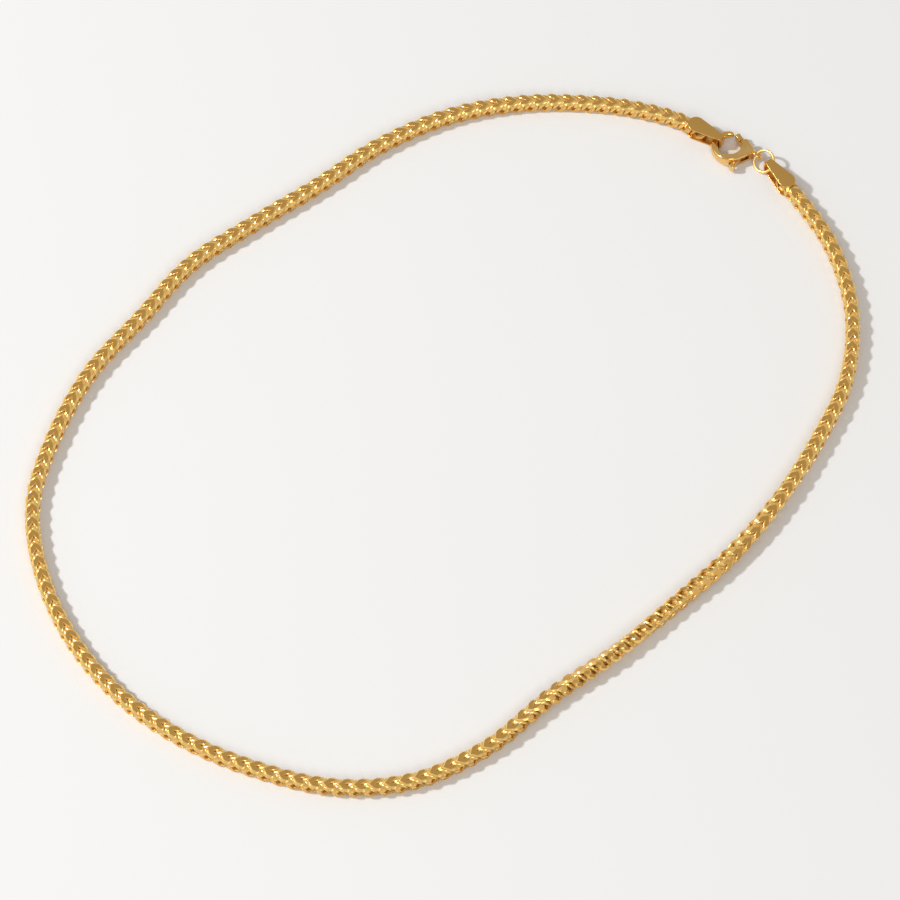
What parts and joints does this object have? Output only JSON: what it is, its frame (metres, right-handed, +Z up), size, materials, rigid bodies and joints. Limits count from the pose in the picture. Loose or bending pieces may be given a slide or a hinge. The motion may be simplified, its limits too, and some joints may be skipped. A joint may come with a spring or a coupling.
{
  "type": "franco chain necklace with lobster clasp",
  "caption": "Gold franco chain necklace: square interlocked links, folded end tabs, a jump ring and a lobster clasp with a sprung lever, lying closed in its loop.",
  "frame": {"origin": "centre of the necklace's bounding box, on the plane that it lies on", "axes": "+Z up from the table, +Y towards the clasp side of the loop, +X towards the right side seen from the front"},
  "size_m": [0.172, 0.1659, 0.0038],
  "materials": {
    "gold": "polished yellow gold with flat diamond-cut faces"
  },
  "bodies": {
    "necklace": {"chain_right": "gold", "chain_left": "gold", "end_tab_right": "gold", "end_tab_left": "gold", "jump_ring": "gold", "clasp_body": "gold", "lever_rivet": "gold"},
    "clasp_lever": {"clasp_lever": "gold"}
  },
  "joints": [
    {"name": "lever_hinge", "type": "hinge", "parent": "necklace", "child": "clasp_lever", "pos_m": [0.06336, 0.0696, 0.0015], "axis": [0, 0, 1], "range_deg": [0, 24], "stiffness_Nm_per_rad": 0.01, "springref_deg": -22.92}
  ]
}
